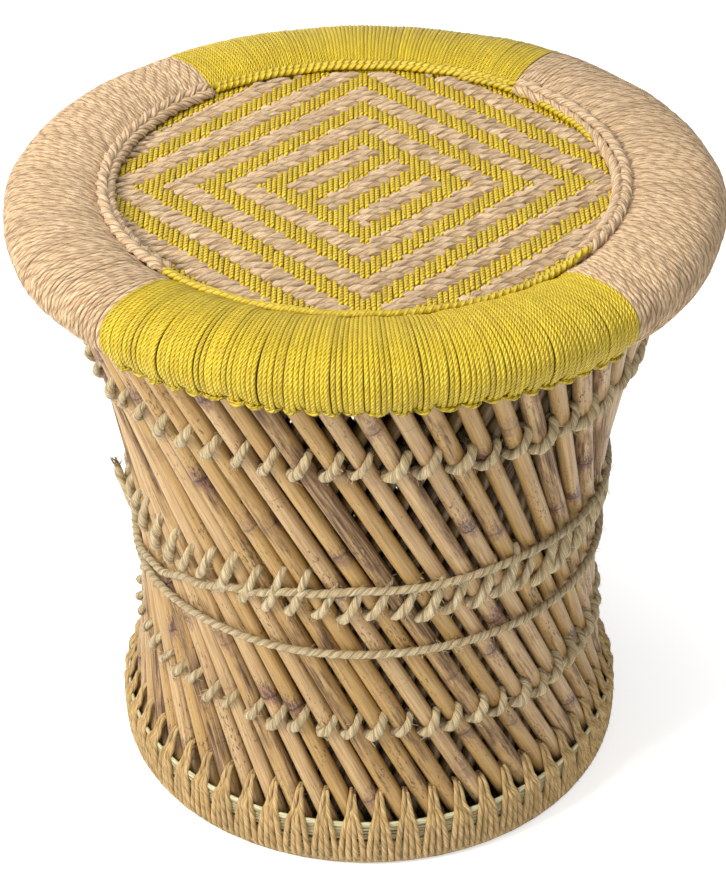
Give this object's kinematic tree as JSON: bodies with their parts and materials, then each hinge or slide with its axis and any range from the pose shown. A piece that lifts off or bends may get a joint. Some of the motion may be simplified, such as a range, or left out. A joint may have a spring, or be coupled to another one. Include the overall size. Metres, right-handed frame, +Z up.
{
  "type": "woven reed stool",
  "caption": "Round waisted stool of two crossed layers of reeds, rope-lashed, on a bound foot ring, with a cord-wrapped rim and a woven rope seat.",
  "frame": {"origin": "on the floor, at the middle of the foot ring", "axes": "+Z up, -Y towards the yellow front of the rim that faces the viewer, +X to the right"},
  "size_m": [0.42, 0.42, 0.4027],
  "materials": {
    "reed": "satin",
    "pale_reed": "matte",
    "bundle_reed": "matte",
    "lashing_rope": "matte",
    "binding_rope": "matte",
    "natural_rope": "matte",
    "yellow_cord": "satin"
  },
  "bodies": {
    "root": {"reed_set_01": "reed", "reed_set_02": "reed", "reed_set_03": "reed", "reed_set_04": "reed", "reed_set_05": "reed", "reed_set_06": "reed", "reed_set_07": "reed", "reed_set_08": "reed", "reed_set_09": "reed", "reed_set_10": "reed", "reed_set_11": "reed", "reed_set_12": "reed", "reed_set_13": "reed", "reed_set_14": "reed", "reed_set_15": "reed", "reed_set_16": "reed", "reed_set_17": "reed", "reed_set_18": "reed", "reed_set_19": "reed", "reed_set_20": "reed", "reed_set_21": "reed", "reed_set_22": "reed", "reed_set_23": "reed", "reed_set_24": "reed", "reed_set_25": "reed", "reed_set_26": "reed", "reed_set_27": "reed", "reed_set_28": "reed", "reed_set_29": "reed", "lower_lashing": "lashing_rope", "waist_lashing": "lashing_rope", "upper_lashing": "lashing_rope", "upper_waist_rope": "lashing_rope", "lower_waist_rope": "lashing_rope", "base_outer_hoop": "pale_reed", "base_inner_hoop": "pale_reed", "base_foot_bundle": "bundle_reed", "base_binding": "binding_rope", "rim_outer_bundle": "bundle_reed", "rim_inner_bundle": "bundle_reed", "rim_top_bundle": "bundle_reed", "rim_wrap_front": "yellow_cord", "rim_wrap_right": "natural_rope", "rim_wrap_back": "yellow_cord", "rim_wrap_left": "natural_rope", "edging_cord_front": "yellow_cord", "edging_braid_right": "natural_rope", "edging_cord_back": "yellow_cord", "edging_braid_left": "natural_rope", "seat_weft_rope": "natural_rope", "seat_warp_cord": "yellow_cord"}
  },
  "joints": []
}
